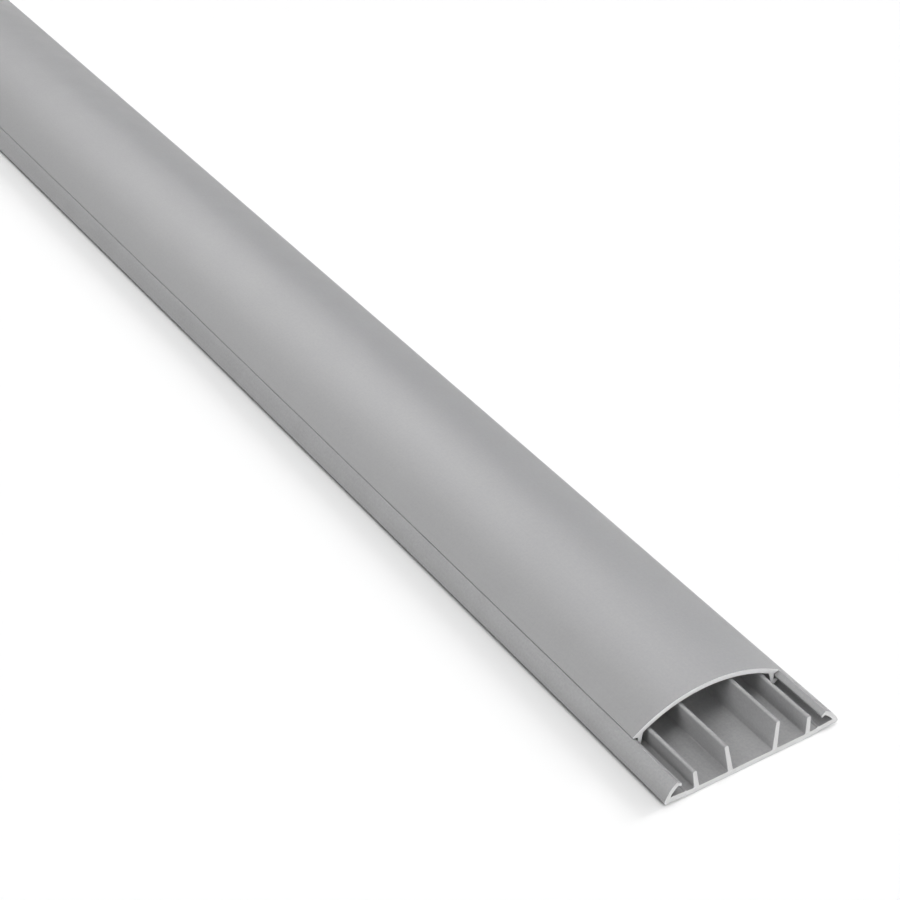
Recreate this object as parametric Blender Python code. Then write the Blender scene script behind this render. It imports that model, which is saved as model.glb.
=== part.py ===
"""Floor cord cover: a length of extruded PVC floor trunking.

Two extrusions lock together along their whole length. The channel lies on the floor: a flat plate
with a curved rail along each long edge and four dividing ribs between them. The cover is a shallow
dome that closes it: its edges sit on the rails' crests, and a barbed leg under each edge hooks under
the rail's lip. The cover stands slid back along the channel, so the cut end shows the cable ways.

Metres, +Z up. The length runs along Y, the open end is at -Y, and the origin is the middle of the
channel's underside. Section points are (x, z) of the right-hand half, at +X; the left is its mirror.
"""

import math

import bpy

MM = 0.001

# Stock
STOCK_LENGTH = 1.0
STOCK_WIDTH = 75.0 * MM
COVER_SETBACK = 27.5 * MM
ARC_STEP = math.radians(5.0)
CORNER_STEP = math.radians(30.0)

# Channel plate: flat in the middle, its wings lifted a little towards the rails
PLATE_THICKNESS = 2.3 * MM
WING_START = 25.0 * MM
WING_END = 33.3 * MM
WING_LIFT = 0.85 * MM
PLATE_EDGE_RADIUS = 1.0 * MM

# Channel rail: inner and outer faces are arcs about one centre
RAIL_THICKNESS = 1.75 * MM
RAIL_ARC_RADIUS = 12.5 * MM
RAIL_CREST = (31.95 * MM, 8.62 * MM)
RAIL_CREST_RADIUS = 0.2 * MM
RAIL_SHOULDER = (31.6 * MM, 8.12 * MM)
RAIL_ROOT_RADIUS = 0.5 * MM
LIP_NOSE_TOP = (30.1 * MM, 7.2 * MM)
LIP_NOSE_BOTTOM = (30.25 * MM, 6.0 * MM)
LIP_NOSE_RADIUS = 0.35 * MM
LIP_ROOT_X = 32.05 * MM

# Low bead on the plate beside each leg
BEAD_X = 28.7 * MM
BEAD_WIDTH = 1.1 * MM
BEAD_HEIGHT = 0.3 * MM

# Dividing ribs: foot position, height over the floor, and outward lean
INNER_RIB_X = 9.55 * MM
INNER_RIB_TOP_Z = 14.4 * MM
INNER_RIB_LEAN = math.radians(7.7)
OUTER_RIB_X = 23.95 * MM
OUTER_RIB_TOP_Z = 9.75 * MM
OUTER_RIB_LEAN = math.radians(5.2)
RIB_FOOT_THICKNESS = 2.1 * MM
RIB_TOP_THICKNESS = 1.65 * MM
RIB_TOP_RADIUS = 0.4 * MM
RIB_FOOT_RADIUS = 0.5 * MM

# Cover dome
DOME_CROWN_Z = 18.5 * MM
DOME_RADIUS = 57.5 * MM
DOME_THICKNESS = 2.0 * MM
DOME_TIP_X = 31.6 * MM
DOME_STEP = math.radians(2.5)

# Cover leg, from its root on the dome to its barb under the lip
LEG_ROOT_X = 27.45 * MM
LEG_ROOT_RADIUS = 0.5 * MM
LEG_KNEE = (28.3 * MM, 5.05 * MM)
LEG_TOE = (29.85 * MM, 3.3 * MM)
LEG_OUTER_X = 29.75 * MM
BARB_LOWER = (31.85 * MM, 4.55 * MM)
BARB_UPPER = (31.65 * MM, 5.35 * MM)
BARB_ROOT_Z = 5.65 * MM
BARB_RADIUS = 0.2 * MM
NOTCH_INNER_Z = 7.95 * MM
NOTCH_OUTER = (31.6 * MM, 8.45 * MM)

COLLECTION_NAME = "floor_cord_cover"
PVC_GREY = (0.36, 0.36, 0.37, 1.0)
PVC_ROUGHNESS = 0.5


def arc_points(centre, radius, start, end, step=ARC_STEP):
    """Points along an arc about centre, from angle start to angle end."""
    count = max(2, math.ceil(abs(end - start) / step))
    angles = [start + (end - start) * index / count for index in range(count + 1)]
    return [(centre[0] + radius * math.cos(a), centre[1] + radius * math.sin(a)) for a in angles]


def towards(start, end, distance):
    """Point at the given distance from start on the line to end."""
    share = distance / math.dist(start, end)
    return (start[0] + (end[0] - start[0]) * share, start[1] + (end[1] - start[1]) * share)


def rounded_corner(before, corner, after, radius):
    """Arc that rounds the corner between the edges to before and to after."""
    side_a = towards(corner, before, 1.0)
    side_b = towards(corner, after, 1.0)
    half_angle = math.asin(min(1.0, math.dist(side_a, side_b) / 2))
    start = towards(corner, before, radius / math.tan(half_angle))
    end = towards(corner, after, radius / math.tan(half_angle))
    middle = ((side_a[0] + side_b[0]) / 2, (side_a[1] + side_b[1]) / 2)
    centre = towards(corner, middle, radius / math.sin(half_angle))
    start_angle = math.atan2(start[1] - centre[1], start[0] - centre[0])
    turn = math.atan2(end[1] - centre[1], end[0] - centre[0]) - start_angle
    turn = (turn + math.pi) % math.tau - math.pi
    return arc_points(centre, radius, start_angle, start_angle + turn, CORNER_STEP)


def rounded_run(before, corners, after):
    """Outline through (corner, radius) pairs, on the way from before to after."""
    places = [before] + [place for place, _ in corners] + [after]
    outline = []
    for index, (place, radius) in enumerate(corners):
        if radius:
            outline += rounded_corner(places[index], place, places[index + 2], radius)
        else:
            outline.append(place)
    return outline


def with_mirror(half):
    """Closed outline from its right-hand half, which starts and ends near the centre plane."""
    return half + [(-x, z) for x, z in reversed(half)]


def plate_top(x):
    """Height of the plate's upper face: level in the middle, rising over the wings."""
    rise = min(max((x - WING_START) / (WING_END - WING_START), 0.0), 1.0)
    return PLATE_THICKNESS + WING_LIFT * rise


def on_plate(x):
    """Point on the plate's upper face."""
    return (x, plate_top(x))


def rail_foot():
    """Point where the rail's outer face leaves the plate's rounded edge."""
    return (STOCK_WIDTH / 2, WING_LIFT + PLATE_EDGE_RADIUS)


def rail_centre():
    """Centre of the rail's arcs: the outer one runs through the rail's foot and crest."""
    foot = rail_foot()
    half_chord = math.dist(foot, RAIL_CREST) / 2
    middle = ((foot[0] + RAIL_CREST[0]) / 2, (foot[1] + RAIL_CREST[1]) / 2)
    inward = (middle[0] - (RAIL_CREST[1] - foot[1]), middle[1] - (foot[0] - RAIL_CREST[0]))
    return towards(middle, inward, math.sqrt(RAIL_ARC_RADIUS ** 2 - half_chord ** 2))


def rail_outline():
    """Rail from the plate's underside, over the crest and the lip, to the plate's upper face."""
    centre = rail_centre()
    foot = rail_foot()
    inner_radius = RAIL_ARC_RADIUS - RAIL_THICKNESS
    foot_angle = math.atan2(foot[1] - centre[1], foot[0] - centre[0])
    crest_angle = math.atan2(RAIL_CREST[1] - centre[1], RAIL_CREST[0] - centre[0])
    lip_angle = math.acos((LIP_ROOT_X - centre[0]) / inner_radius)
    root_angle = math.asin((plate_top(WING_END) - centre[1]) / inner_radius)
    corner_centre = (foot[0] - PLATE_EDGE_RADIUS, foot[1])
    edge = arc_points(corner_centre, PLATE_EDGE_RADIUS, -math.pi / 2, 0.0, CORNER_STEP)
    outer = arc_points(centre, RAIL_ARC_RADIUS, foot_angle, crest_angle)
    inner = arc_points(centre, inner_radius, lip_angle, root_angle)
    crest_and_lip = rounded_run(outer[-2], [
        (RAIL_CREST, RAIL_CREST_RADIUS),
        (RAIL_SHOULDER, 0.0),
        (LIP_NOSE_TOP, LIP_NOSE_RADIUS),
        (LIP_NOSE_BOTTOM, LIP_NOSE_RADIUS),
    ], inner[0])
    root = rounded_run(inner[-2], [(inner[-1], RAIL_ROOT_RADIUS)], on_plate(WING_END))
    return edge + outer[1:-1] + crest_and_lip + inner[:-1] + root


def bead_outline():
    """Low bead on the plate, from its outer to its inner foot."""
    half = BEAD_WIDTH / 2
    middle_z = plate_top(BEAD_X) + BEAD_HEIGHT
    return [
        on_plate(BEAD_X + half),
        (BEAD_X + half / 2, middle_z),
        (BEAD_X - half / 2, middle_z),
        on_plate(BEAD_X - half),
    ]


def rib_outline(foot_x, top_z, lean):
    """Dividing rib, from its outer foot over its round top to its inner foot."""
    half_foot = RIB_FOOT_THICKNESS / 2
    half_top = RIB_TOP_THICKNESS / 2
    top_x = foot_x + (top_z - PLATE_THICKNESS) * math.tan(lean)
    clear = RIB_FOOT_THICKNESS
    return rounded_run(on_plate(foot_x + half_foot + clear), [
        (on_plate(foot_x + half_foot), RIB_FOOT_RADIUS),
        ((top_x + half_top, top_z), RIB_TOP_RADIUS),
        ((top_x - half_top, top_z), RIB_TOP_RADIUS),
        (on_plate(foot_x - half_foot), RIB_FOOT_RADIUS),
    ], on_plate(foot_x - half_foot - clear))


def channel_outline():
    """Section of the channel."""
    underside = [(WING_START, 0.0), (WING_END, WING_LIFT)]
    wing_top = [on_plate(WING_END)] + bead_outline() + [on_plate(WING_START)]
    outer_rib = rib_outline(OUTER_RIB_X, OUTER_RIB_TOP_Z, OUTER_RIB_LEAN)
    inner_rib = rib_outline(INNER_RIB_X, INNER_RIB_TOP_Z, INNER_RIB_LEAN)
    return with_mirror(underside + rail_outline() + wing_top[:-1] + outer_rib + inner_rib)


def dome_arc(radius, from_x, to_x):
    """Points on an arc about the dome's centre, between two places across its width."""
    centre = (0.0, DOME_CROWN_Z - DOME_RADIUS)
    return arc_points(centre, radius, math.acos(from_x / radius), math.acos(to_x / radius), DOME_STEP)


def leg_outline(inner_face, tip):
    """Leg from its root on the dome's inner face, round its barb and notch, to the dome's tip."""
    return rounded_run(inner_face[-2], [
        (inner_face[-1], LEG_ROOT_RADIUS),
        (LEG_KNEE, BARB_RADIUS),
        (LEG_TOE, BARB_RADIUS),
        (BARB_LOWER, BARB_RADIUS),
        (BARB_UPPER, BARB_RADIUS),
        ((LEG_OUTER_X, BARB_ROOT_Z), 0.0),
        ((LEG_OUTER_X, NOTCH_INNER_Z), 0.0),
        (NOTCH_OUTER, 0.0),
    ], tip)


def cover_outline():
    """Section of the cover."""
    inner_face = dome_arc(DOME_RADIUS - DOME_THICKNESS, 0.0, LEG_ROOT_X)
    outer_face = dome_arc(DOME_RADIUS, DOME_TIP_X, 0.0)
    half = inner_face[1:-1] + leg_outline(inner_face, outer_face[0]) + outer_face[:-1]
    crown = [(0.0, DOME_CROWN_Z)]
    underside_middle = [(0.0, DOME_CROWN_Z - DOME_THICKNESS)]
    return underside_middle + half + crown + [(-x, z) for x, z in reversed(half)]


def pvc_material():
    """Matt grey PVC."""
    material = bpy.data.materials.new("pvc_grey")
    material.use_nodes = True
    shader = material.node_tree.nodes["Principled BSDF"]
    shader.inputs["Base Color"].default_value = PVC_GREY
    shader.inputs["Roughness"].default_value = PVC_ROUGHNESS
    return material


def extrusion(name, outline, middle_y, material, collection):
    """Closed section drawn in the XZ plane and extruded along Y over the stock length."""
    curve = bpy.data.curves.new(name, "CURVE")
    curve.dimensions = "2D"
    curve.fill_mode = "BOTH"
    curve.extrude = STOCK_LENGTH / 2
    spline = curve.splines.new("POLY")
    spline.points.add(len(outline) - 1)
    for point, (x, z) in zip(spline.points, outline):
        point.co = (x, z, 0.0, 1.0)
    spline.use_cyclic_u = True
    curve.materials.append(material)
    stock = bpy.data.objects.new(name, curve)
    stock.rotation_euler.x = math.pi / 2
    stock.location.y = middle_y
    collection.objects.link(stock)
    return stock


def build():
    """Clear the scene and build both extrusions."""
    for old in list(bpy.data.objects):
        bpy.data.objects.remove(old)
    collection = bpy.data.collections.new(COLLECTION_NAME)
    bpy.context.scene.collection.children.link(collection)
    pvc = pvc_material()
    extrusion("base_channel", channel_outline(), 0.0, pvc, collection)
    extrusion("snap_cover", cover_outline(), COVER_SETBACK, pvc, collection)


build()
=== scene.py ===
"""Floor cord cover: a length of floor trunking in grey PVC, lying on a pale studio floor.

Two extrusions make it up. The channel lies on the floor, and the domed cover is hooked into its
rails and slid back a little, so that the cut end shows the cable ways. Each section below makes one
of them as its die does: the right-hand half of the end face is drawn wall by wall in millimetres,
mirrored, and drawn out along Y. Points are (x, z), measured from the middle of the underside.
"""

import math

import bmesh
import bpy
from mathutils import Matrix, Vector


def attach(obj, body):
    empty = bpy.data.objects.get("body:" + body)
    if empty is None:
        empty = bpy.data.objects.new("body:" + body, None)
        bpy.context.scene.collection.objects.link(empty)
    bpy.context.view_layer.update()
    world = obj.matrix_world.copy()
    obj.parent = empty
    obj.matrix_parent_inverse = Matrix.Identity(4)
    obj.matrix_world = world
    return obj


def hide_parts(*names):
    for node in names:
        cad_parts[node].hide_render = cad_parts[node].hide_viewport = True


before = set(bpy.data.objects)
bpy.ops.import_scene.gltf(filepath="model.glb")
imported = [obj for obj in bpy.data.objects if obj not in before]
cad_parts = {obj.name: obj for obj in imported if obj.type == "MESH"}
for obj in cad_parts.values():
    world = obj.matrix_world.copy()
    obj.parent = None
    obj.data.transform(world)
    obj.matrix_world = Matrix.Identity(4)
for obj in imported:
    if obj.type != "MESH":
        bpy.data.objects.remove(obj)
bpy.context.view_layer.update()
scene = bpy.context.scene


# Channel: the bottom half of the trunking, which is taped or screwed to the floor. One extrusion of
# rigid grey PVC: a plate whose wings lift a little towards the edges, a curved rail with a hooked lip
# along each edge, a low bead beside each rail, and four dividing ribs between the cable ways.

SAME_PLACE = 0.005
MERGE_GAP = 0.001


def lay_end_face(name, low, high, near_y):
    """Starts a piece with the first stretch of its end face, a plane from low to high that faces -Y."""
    bpy.ops.object.select_all(action="DESELECT")
    bpy.ops.mesh.primitive_plane_add(
        size=1.0,
        location=((low[0] + high[0]) / 2, near_y, (low[1] + high[1]) / 2),
        rotation=(math.pi / 2, 0.0, 0.0),
    )
    piece = bpy.context.object
    piece.name = piece.data.name = name
    piece.scale = (high[0] - low[0], high[1] - low[1], 1.0)
    bpy.ops.object.transform_apply(location=True, rotation=True, scale=True)
    bpy.ops.object.mode_set(mode="EDIT")
    bpy.ops.mesh.select_mode(type="EDGE")
    return piece


def pick_points(points):
    """Selects the section's corner points at these places, and the edge between them if there are two."""
    bpy.ops.mesh.select_all(action="DESELECT")
    mesh = bmesh.from_edit_mesh(bpy.context.object.data)
    found = [
        vertex for vertex in mesh.verts
        if any(math.dist((vertex.co.x, vertex.co.z), point) < SAME_PLACE for point in points)
    ]
    for edge in mesh.edges:
        if all(end in found for end in edge.verts):
            edge.select_set(True)
    if len(points) == 1:
        found[0].select = True
    bmesh.update_edit_mesh(bpy.context.object.data)


def draw_wall(*stations):
    """Extrudes a wall out of the end face, edge by edge. A station is the wall's two face points there."""
    for (first, second), (new_first, new_second) in zip(stations, stations[1:]):
        bpy.ops.mesh.select_mode(type="EDGE")
        pick_points([first, second])
        shift = (new_first[0] - first[0], new_first[1] - first[1])
        bpy.ops.mesh.extrude_edges_move(TRANSFORM_OT_translate={"value": (shift[0], 0.0, shift[1])})
        carried = (second[0] + shift[0], second[1] + shift[1])
        bpy.ops.mesh.select_mode(type="VERT")
        pick_points([carried])
        bpy.ops.transform.translate(
            value=(new_second[0] - carried[0], 0.0, new_second[1] - carried[1]))


def arc_centre(start, end, radius):
    """Centre of the arc that runs from start up to end, bulging outwards."""
    half_chord = math.dist(start, end) / 2
    share = math.sqrt(radius ** 2 - half_chord ** 2) / (2 * half_chord)
    return (
        (start[0] + end[0]) / 2 - (end[1] - start[1]) * share,
        (start[1] + end[1]) / 2 + (end[0] - start[0]) * share,
    )


def at_x(centre, radius, x):
    """Upper point of a circle at this x."""
    return (x, centre[1] + math.sqrt(radius ** 2 - (x - centre[0]) ** 2))


def at_z(centre, radius, z):
    """Right-hand point of a circle at this height."""
    return (centre[0] + math.sqrt(radius ** 2 - (z - centre[1]) ** 2), z)


def along_arc(centre, start, end, steps):
    """Points on the arc from start to end, in equal turns, without start itself."""
    radius = math.dist(centre, start)
    first = math.atan2(start[1] - centre[1], start[0] - centre[0])
    turn = math.atan2(end[1] - centre[1], end[0] - centre[0]) - first
    angles = [first + turn * step / steps for step in range(1, steps + 1)]
    return [(centre[0] + radius * math.cos(a), centre[1] + radius * math.sin(a)) for a in angles]


def finish_end_face(piece):
    """Mirrors the half section, makes it one face, and leaves it open for drawing out."""
    bpy.ops.object.mode_set(mode="OBJECT")
    mirror = piece.modifiers.new("other_half", "MIRROR")
    mirror.merge_threshold = MERGE_GAP
    bpy.ops.object.modifier_apply(modifier=mirror.name)
    bpy.ops.object.mode_set(mode="EDIT")
    bpy.ops.mesh.select_mode(type="FACE")
    bpy.ops.mesh.select_all(action="SELECT")
    bpy.ops.mesh.remove_doubles(threshold=MERGE_GAP)
    bpy.ops.mesh.dissolve_limited(angle_limit=math.radians(0.1))


def draw_out(length):
    """Draws the end face out along +Y to the stock length, with all faces pointing outwards."""
    bpy.ops.mesh.select_all(action="SELECT")
    bpy.ops.mesh.extrude_region_move(TRANSFORM_OT_translate={"value": (0.0, length, 0.0)})
    bpy.ops.mesh.select_all(action="SELECT")
    bpy.ops.mesh.normals_make_consistent(inside=False)


def round_long_edges(radius, segments, *places):
    """Rounds the lengthwise edges at these places, and at their mirror places, to a radius. Where a
    rounding ends on the next corner, their points are joined."""
    bpy.ops.mesh.select_mode(type="EDGE")
    places = list(places) + [(-x, z) for x, z in places]
    for place in places:
        mesh = bmesh.from_edit_mesh(bpy.context.object.data)
        bpy.ops.mesh.select_all(action="DESELECT")
        for edge in mesh.edges:
            ends = [(end.co.x, end.co.z) for end in edge.verts]
            if all(math.dist(end, place) < SAME_PLACE for end in ends):
                edge.select_set(True)
                turn = edge.calc_face_angle()
        bmesh.update_edit_mesh(bpy.context.object.data)
        bpy.ops.mesh.bevel(
            offset=radius * math.tan(turn / 2), segments=segments, profile=0.5,
            affect="EDGES", clamp_overlap=False)
    bpy.ops.mesh.select_all(action="SELECT")
    bpy.ops.mesh.remove_doubles(threshold=MERGE_GAP)


def pick_cut_faces():
    """Selects the two cut ends."""
    bpy.ops.mesh.select_mode(type="FACE")
    bpy.ops.mesh.select_all(action="DESELECT")
    mesh = bmesh.from_edit_mesh(bpy.context.object.data)
    for face in mesh.faces:
        face.select_set(abs(face.normal.y) > 0.99)
    bmesh.update_edit_mesh(bpy.context.object.data)


def trim_cut_ends(burr):
    """Breaks the sharp rims of both sawn ends and gives the ends their own finish."""
    pick_cut_faces()
    bpy.context.object.active_material_index = 1
    bpy.ops.object.material_slot_assign()
    bpy.ops.mesh.region_to_loop()
    bpy.ops.mesh.bevel(offset=burr, segments=2, profile=0.5, affect="EDGES", clamp_overlap=False)


def to_metres(piece):
    """Brings the finished mesh from millimetres to metres and shades its curves smooth."""
    bpy.ops.mesh.select_all(action="SELECT")
    bpy.ops.transform.resize(value=(0.001, 0.001, 0.001), center_override=(0.0, 0.0, 0.0))
    bpy.ops.object.mode_set(mode="OBJECT")
    bpy.ops.object.shade_smooth_by_angle(angle=math.radians(35.0))
    piece.select_set(False)


def add_node(material, kind, **settings):
    """Adds a node to a material and sets its properties and unlinked inputs."""
    node = material.node_tree.nodes.new(kind)
    for name, value in settings.items():
        if name in node.inputs:
            node.inputs[name].default_value = value
        else:
            setattr(node, name, value)
    return node


def pvc_skin(name, colour, roughness, mottle):
    """Skin of drawn PVC: die lines along the length, cloudy patches, specks and a fine matt grain.
    Its tone varies to either side by the share that mottle gives."""
    material = bpy.data.materials.new(name)
    material.use_nodes = True
    link = material.node_tree.links.new
    shader = material.node_tree.nodes["Principled BSDF"]
    shader.inputs["IOR"].default_value = 1.53
    shader.inputs["Specular IOR Level"].default_value = 0.9
    place = add_node(material, "ShaderNodeTexCoord").outputs["Object"]
    along = add_node(material, "ShaderNodeMapping", Scale=(2600.0, 1.2, 2600.0))
    lines = add_node(material, "ShaderNodeTexNoise", Scale=1.0, Detail=3.0, Roughness=0.6)
    clouds = add_node(material, "ShaderNodeTexNoise", Scale=70.0, Detail=3.0, Roughness=0.55)
    specks = add_node(material, "ShaderNodeTexNoise", Scale=1000.0, Detail=3.0, Roughness=0.6)
    grain = add_node(material, "ShaderNodeTexNoise", Scale=5200.0, Detail=2.0, Roughness=0.5)
    link(place, along.inputs["Vector"])
    link(along.outputs["Vector"], lines.inputs["Vector"])
    link(place, clouds.inputs["Vector"])
    link(place, specks.inputs["Vector"])
    link(place, grain.inputs["Vector"])
    drawn = add_node(material, "ShaderNodeMix", data_type="FLOAT", Factor=0.5)
    link(lines.outputs["Fac"], drawn.inputs["A"])
    link(clouds.outputs["Fac"], drawn.inputs["B"])
    shade = add_node(material, "ShaderNodeMix", data_type="FLOAT", Factor=0.55)
    link(drawn.outputs["Result"], shade.inputs["A"])
    link(specks.outputs["Fac"], shade.inputs["B"])
    tone = add_node(material, "ShaderNodeValToRGB")
    tone.color_ramp.elements[0].position, tone.color_ramp.elements[1].position = 0.3, 0.7
    tone.color_ramp.elements[0].color = [part * (1.0 - mottle) for part in colour] + [1.0]
    tone.color_ramp.elements[1].color = [part * (1.0 + mottle) for part in colour] + [1.0]
    link(shade.outputs["Result"], tone.inputs["Fac"])
    link(tone.outputs["Color"], shader.inputs["Base Color"])
    gloss = add_node(material, "ShaderNodeMapRange")
    gloss.inputs["From Min"].default_value, gloss.inputs["From Max"].default_value = 0.3, 0.7
    gloss.inputs["To Min"].default_value = roughness - 0.05
    gloss.inputs["To Max"].default_value = roughness + 0.05
    link(clouds.outputs["Fac"], gloss.inputs["Value"])
    link(gloss.outputs["Result"], shader.inputs["Roughness"])
    fine = add_node(material, "ShaderNodeBump", Strength=0.35, Distance=0.00002)
    long = add_node(material, "ShaderNodeBump", Strength=0.3, Distance=0.00003)
    link(grain.outputs["Fac"], fine.inputs["Height"])
    link(lines.outputs["Fac"], long.inputs["Height"])
    link(fine.outputs["Normal"], long.inputs["Normal"])
    link(long.outputs["Normal"], shader.inputs["Normal"])
    return material


def sawn_pvc(name, colour):
    """Sawn end of PVC, paler than the skin, with the saw's fine strokes across it."""
    material = bpy.data.materials.new(name)
    material.use_nodes = True
    link = material.node_tree.links.new
    shader = material.node_tree.nodes["Principled BSDF"]
    shader.inputs["Roughness"].default_value = 0.62
    place = add_node(material, "ShaderNodeTexCoord").outputs["Object"]
    turned = add_node(
        material, "ShaderNodeMapping", Rotation=(0.0, math.radians(18.0), 0.0), Scale=(160.0, 1.0, 6500.0))
    strokes = add_node(material, "ShaderNodeTexNoise", Scale=1.0, Detail=3.0, Roughness=0.65)
    link(place, turned.inputs["Vector"])
    link(turned.outputs["Vector"], strokes.inputs["Vector"])
    tone = add_node(material, "ShaderNodeValToRGB")
    tone.color_ramp.elements[0].position, tone.color_ramp.elements[1].position = 0.3, 0.7
    tone.color_ramp.elements[0].color = [part * 0.97 for part in colour] + [1.0]
    tone.color_ramp.elements[1].color = [part * 1.03 for part in colour] + [1.0]
    link(strokes.outputs["Fac"], tone.inputs["Fac"])
    link(tone.outputs["Color"], shader.inputs["Base Color"])
    relief = add_node(material, "ShaderNodeBump", Strength=0.2, Distance=0.00002)
    link(strokes.outputs["Fac"], relief.inputs["Height"])
    link(relief.outputs["Normal"], shader.inputs["Normal"])
    return material


STOCK_LENGTH = 1000.0
CHANNEL_NEAR_Y = -STOCK_LENGTH / 2
PLATE_TOP = 2.3
WING_START, WING_END = 25.0, 33.3
WING_LIFT = 0.85
INNER_RIB_FOOT = ((8.5, PLATE_TOP), (10.6, PLATE_TOP))
INNER_RIB_TOP = ((10.36, 14.4), (12.01, 14.4))
OUTER_RIB_FOOT = ((22.9, PLATE_TOP), (25.0, PLATE_TOP))
OUTER_RIB_TOP = ((23.8, 9.75), (25.45, 9.75))
BEAD_FOOT = (28.15, 29.25)
BEAD_TOP = ((28.43, 2.99), (28.97, 2.99))
RAIL_FOOT, RAIL_CREST = (37.5, 1.85), (31.95, 8.62)
RAIL_OUTER, RAIL_INNER = 12.5, 10.75
RAIL_CENTRE = arc_centre(RAIL_FOOT, RAIL_CREST, RAIL_OUTER)
RAIL_STEPS = 14
LIP_ROOT = at_x(RAIL_CENTRE, RAIL_INNER, 32.05)
LIP_SEAT = (31.6, 8.12)
LIP_UNDER_SEAT = at_x(RAIL_CENTRE, RAIL_INNER, LIP_SEAT[0])
LIP_NOSE = ((30.25, 6.0), (30.1, 7.2))
WING_CORNER_ROUND = 1.0
RAIL_ROOT_ROUND = 0.5
RAIL_CREST_ROUND = 0.2
LIP_NOSE_ROUND = 0.35
RIB_TOP_ROUND = 0.7
RIB_FOOT_ROUND = 0.5
SAW_BURR = 0.08
PVC_GREY = (0.28, 0.28, 0.284)
CHANNEL_ROUGHNESS, CHANNEL_MOTTLE = 0.5, 0.14
CHANNEL_SAWN_GREY = (0.6, 0.6, 0.6)


def on_wing(x):
    """The wing's two face points at x, its underside first."""
    rise = WING_LIFT * (x - WING_START) / (WING_END - WING_START)
    return (x, rise), (x, PLATE_TOP + rise)


channel = lay_end_face("floor_channel", (0.0, 0.0), (WING_START, PLATE_TOP), CHANNEL_NEAR_Y)
for foot_side in (*INNER_RIB_FOOT, OUTER_RIB_FOOT[0]):
    bpy.ops.mesh.select_all(action="SELECT")
    bpy.ops.mesh.bisect(plane_co=(foot_side[0], 0.0, 0.0), plane_no=(1.0, 0.0, 0.0))
draw_wall(INNER_RIB_FOOT, INNER_RIB_TOP)
draw_wall(OUTER_RIB_FOOT, OUTER_RIB_TOP)
wing_end = on_wing(WING_END)
rail_root = at_z(RAIL_CENTRE, RAIL_INNER, wing_end[1][1])
rail_root_step = ((rail_root[0], WING_LIFT), rail_root)
rail_foot_step = ((RAIL_FOOT[0], WING_LIFT), RAIL_FOOT)
draw_wall(
    on_wing(WING_START), on_wing(BEAD_FOOT[0]), on_wing(BEAD_FOOT[1]), wing_end,
    rail_root_step, rail_foot_step,
)
draw_wall((on_wing(BEAD_FOOT[0])[1], on_wing(BEAD_FOOT[1])[1]), BEAD_TOP)
draw_wall(
    (rail_root, RAIL_FOOT),
    *zip(
        along_arc(RAIL_CENTRE, rail_root, LIP_ROOT, RAIL_STEPS),
        along_arc(RAIL_CENTRE, RAIL_FOOT, RAIL_CREST, RAIL_STEPS),
    ),
    (LIP_UNDER_SEAT, LIP_SEAT),
    LIP_NOSE,
)
finish_end_face(channel)
draw_out(STOCK_LENGTH)
round_long_edges(WING_CORNER_ROUND, 4, rail_foot_step[0])
round_long_edges(RAIL_ROOT_ROUND, 3, rail_root)
round_long_edges(RIB_TOP_ROUND, 4, *INNER_RIB_TOP, *OUTER_RIB_TOP)
round_long_edges(RIB_FOOT_ROUND, 3, *INNER_RIB_FOOT, *OUTER_RIB_FOOT)
round_long_edges(LIP_NOSE_ROUND, 3, *LIP_NOSE)
round_long_edges(RAIL_CREST_ROUND, 3, RAIL_CREST)
channel.data.materials.append(pvc_skin("channel_pvc", PVC_GREY, CHANNEL_ROUGHNESS, CHANNEL_MOTTLE))
channel.data.materials.append(sawn_pvc("channel_sawn_end", CHANNEL_SAWN_GREY))
trim_cut_ends(SAW_BURR)
to_metres(channel)
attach(channel, "channel")
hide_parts("base_channel")


# Cover: the shallow dome that people walk on. It is a second extrusion of the same PVC. Its edges rest
# on the rails' crests, and under each edge a barbed leg hooks below the rail's lip. It stands slid back
# a little along the channel, held only by the spring of its legs.

SET_BACK = 27.5
COVER_NEAR_Y = CHANNEL_NEAR_Y + SET_BACK
CROWN_TOP, CROWN_UNDERSIDE = 18.5, 16.5
DOME_OUTER = 57.5
DOME_INNER = DOME_OUTER - CROWN_TOP + CROWN_UNDERSIDE
DOME_CENTRE = (0.0, CROWN_TOP - DOME_OUTER)
DOME_STEPS = 24
CROWN_FLAT = 0.5
LEG_INNER_ROOT, LEG_OUTER_ROOT = at_x(DOME_CENTRE, DOME_INNER, 27.45), (29.75, 7.95)
OVER_INNER_ROOT = at_x(DOME_CENTRE, DOME_OUTER, 28.6)
OVER_OUTER_ROOT = at_x(DOME_CENTRE, DOME_OUTER, 30.3)
DOME_EDGE = at_x(DOME_CENTRE, DOME_OUTER, 31.75)
DOME_EDGE_UNDERSIDE = (DOME_EDGE[0], 8.45)
LEG_KNEE, LEG_OUTER_KNEE = (28.3, 5.05), (29.75, 5.65)
LEG_TOE = (29.85, 3.3)
BARB_UPPER, BARB_LOWER = (31.65, 5.35), (31.85, 4.55)
BARB_MIDDLE = ((LEG_TOE[0] + BARB_LOWER[0]) / 2, (LEG_TOE[1] + BARB_LOWER[1]) / 2)
LEG_ROOT_ROUND = 0.5
BARB_ROUND = 0.2
COVER_ROUGHNESS, COVER_MOTTLE = 0.47, 0.06
# The cover's sawn end is paler than the channel's sawn end of the same PVC. Past the real whitening of a
# saw cut, the extra paleness is painted light: it brightens the cut dome and the legs' cuts, where the
# lamps reach too little.
COVER_SAWN_GREY_AND_PAINTED_LIGHT = (0.77, 0.77, 0.77)

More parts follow.
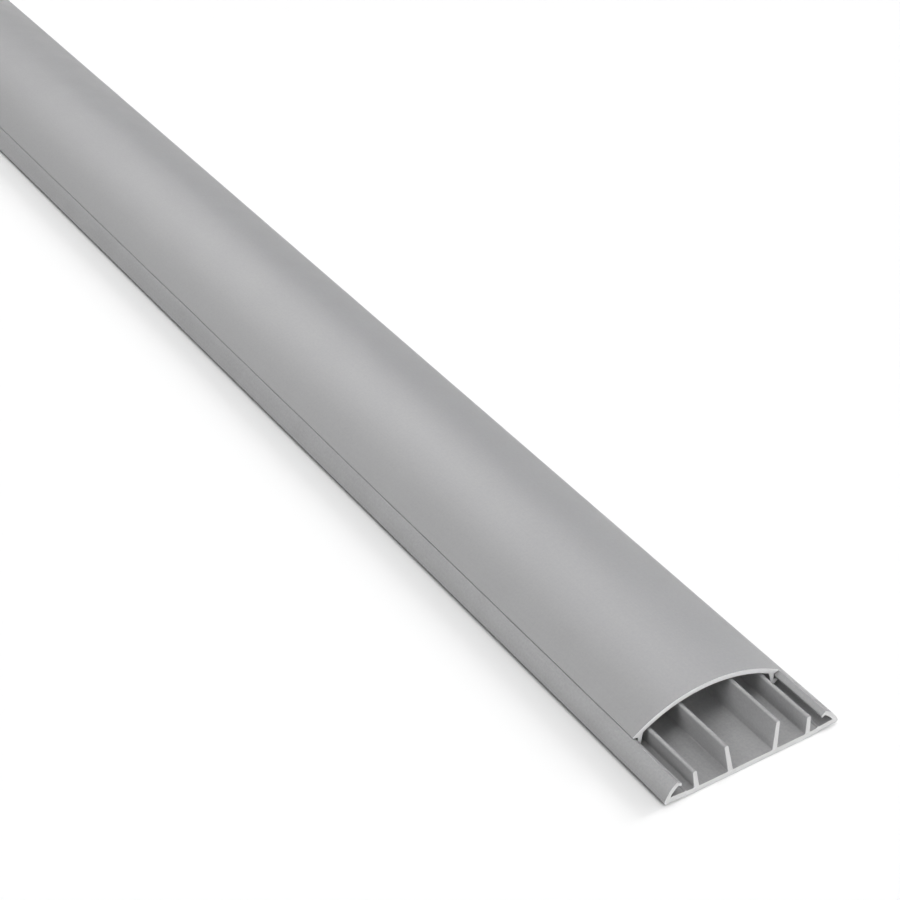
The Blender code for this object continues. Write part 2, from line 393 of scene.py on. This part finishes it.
cover = lay_end_face("domed_cover", (0.0, CROWN_UNDERSIDE), (CROWN_FLAT, CROWN_TOP), COVER_NEAR_Y)
dome_walls = list(zip(
    along_arc(DOME_CENTRE, (0.0, CROWN_UNDERSIDE), LEG_INNER_ROOT, DOME_STEPS),
    along_arc(DOME_CENTRE, (0.0, CROWN_TOP), OVER_INNER_ROOT, DOME_STEPS),
))
draw_wall(
    ((CROWN_FLAT, CROWN_UNDERSIDE), (CROWN_FLAT, CROWN_TOP)),
    *dome_walls,
    (LEG_OUTER_ROOT, OVER_OUTER_ROOT),
    (DOME_EDGE_UNDERSIDE, DOME_EDGE),
)
draw_wall(
    (LEG_INNER_ROOT, LEG_OUTER_ROOT),
    (LEG_KNEE, LEG_OUTER_KNEE),
    (LEG_TOE, BARB_UPPER),
    (BARB_MIDDLE, BARB_LOWER),
)
finish_end_face(cover)
draw_out(STOCK_LENGTH)
round_long_edges(LEG_ROOT_ROUND, 3, LEG_INNER_ROOT)
round_long_edges(BARB_ROUND, 3, LEG_KNEE, LEG_TOE, BARB_LOWER, BARB_UPPER)
cover.data.materials.append(pvc_skin("cover_pvc", PVC_GREY, COVER_ROUGHNESS, COVER_MOTTLE))
# Its sawn end is partly painted light, paler than the channel's.
cover.data.materials.append(sawn_pvc("cover_sawn_end_and_painted_light", COVER_SAWN_GREY_AND_PAINTED_LIGHT))
trim_cut_ends(SAW_BURR)
to_metres(cover)
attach(cover, "cover")
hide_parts("snap_cover")


# Studio: a pale matt floor that runs out of view on every side, under a dim, even surround. It lies
# a tenth of a millimetre below the channel, so that the two surfaces don't coincide.

FLOOR_SIZE = 80.0
FLOOR_DROP = 0.0001
FLOOR_WHITE = (0.92, 0.92, 0.92, 1.0)
SURROUND_STRENGTH = 0.19

bpy.ops.object.select_all(action="DESELECT")
bpy.ops.mesh.primitive_plane_add(size=FLOOR_SIZE, location=(0.0, 0.0, -FLOOR_DROP))
floor = bpy.context.object
floor.name = "studio_floor"
bpy.ops.object.transform_apply(location=True)
floor_paint = bpy.data.materials.new("floor_paint")
floor_paint.use_nodes = True
floor_shader = floor_paint.node_tree.nodes["Principled BSDF"]
floor_shader.inputs["Base Color"].default_value = FLOOR_WHITE
floor_shader.inputs["Roughness"].default_value = 0.9
floor_shader.inputs["Specular IOR Level"].default_value = 0.1
floor.data.materials.append(floor_paint)
scene.world = bpy.data.worlds.new("studio_surround")
scene.world.use_nodes = True
surround = scene.world.node_tree.nodes["Background"]
surround.inputs["Color"].default_value = (1.0, 1.0, 1.0, 1.0)
surround.inputs["Strength"].default_value = SURROUND_STRENGTH
scene.view_settings.view_transform = "Standard"


# Lights: distant soft lights, as wide as studio softboxes look from the table. The far ones lay a broad
# sheen along the dome, and the front one brightens the cut ends. The far ones and the left one are kept
# off the floor, and two light the floor alone, so that the one soft shadow falls to the left.

def soft_light(name, lean, reach, spread, strength, only=None):
    """Adds a distant soft light. It leans to the right and reaches past the far end, both in degrees
    from straight overhead, and is spread degrees wide. It may shine only on a few things."""
    bpy.ops.object.light_add(type="SUN", location=(0.0, 0.0, 2.0))
    lamp = bpy.context.object
    lamp.name = name
    lamp.data.angle = math.radians(spread)
    lamp.data.energy = strength
    lean, reach = math.radians(lean), math.radians(reach)
    across, up = math.cos(reach) * math.sin(lean), math.cos(reach) * math.cos(lean)
    lamp.rotation_euler = Vector((across, math.sin(reach), up)).to_track_quat("Z", "Y").to_euler()
    if only:
        lit = bpy.data.collections.new("lit_by_" + name)
        for thing in only:
            lit.objects.link(thing)
        lamp.light_linking.receiver_collection = lit


soft_light("far_right_light", lean=20.0, reach=45.0, spread=35.0, strength=0.64, only=(channel, cover))
soft_light("far_left_light", lean=-20.0, reach=45.0, spread=35.0, strength=0.28, only=(channel, cover))
soft_light("high_right_light", lean=23.0, reach=22.0, spread=35.0, strength=0.45)
soft_light("overhead_light", lean=0.0, reach=0.0, spread=35.0, strength=0.62)
soft_light("low_right_light", lean=64.0, reach=0.0, spread=16.0, strength=1.4)
soft_light("front_light", lean=0.0, reach=-80.0, spread=30.0, strength=1.4)
soft_light("left_light", lean=-53.0, reach=0.0, spread=35.0, strength=1.25, only=(channel, cover))
soft_light("right_floor_light", lean=55.0, reach=-30.0, spread=30.0, strength=0.7, only=(floor,))
soft_light("front_floor_light", lean=0.0, reach=-45.0, spread=30.0, strength=0.9, only=(floor,))


# Camera: above and to the left of the near end, at the photograph's angle and distance. The angles are
# in degrees: its turn from +Y, how far it looks down, and its roll.

CAMERA_PLACE = (-0.3896, -1.0316, 0.5997)
CAMERA_TURN, CAMERA_RISE, CAMERA_ROLL = -27.863, 34.852, -5.137
CAMERA_LENS, CAMERA_SENSOR = 100.0, 36.0

bpy.ops.object.camera_add()
camera = bpy.context.object
camera.name = "photo_camera"
camera.data.lens = CAMERA_LENS
camera.data.sensor_width = CAMERA_SENSOR
camera.matrix_world = (
    Matrix.Translation(CAMERA_PLACE)
    @ Matrix.Rotation(math.radians(CAMERA_TURN), 4, "Z")
    @ Matrix.Rotation(math.radians(90.0 - CAMERA_RISE), 4, "X")
    @ Matrix.Rotation(math.radians(CAMERA_ROLL), 4, "Z")
)
scene.camera = camera
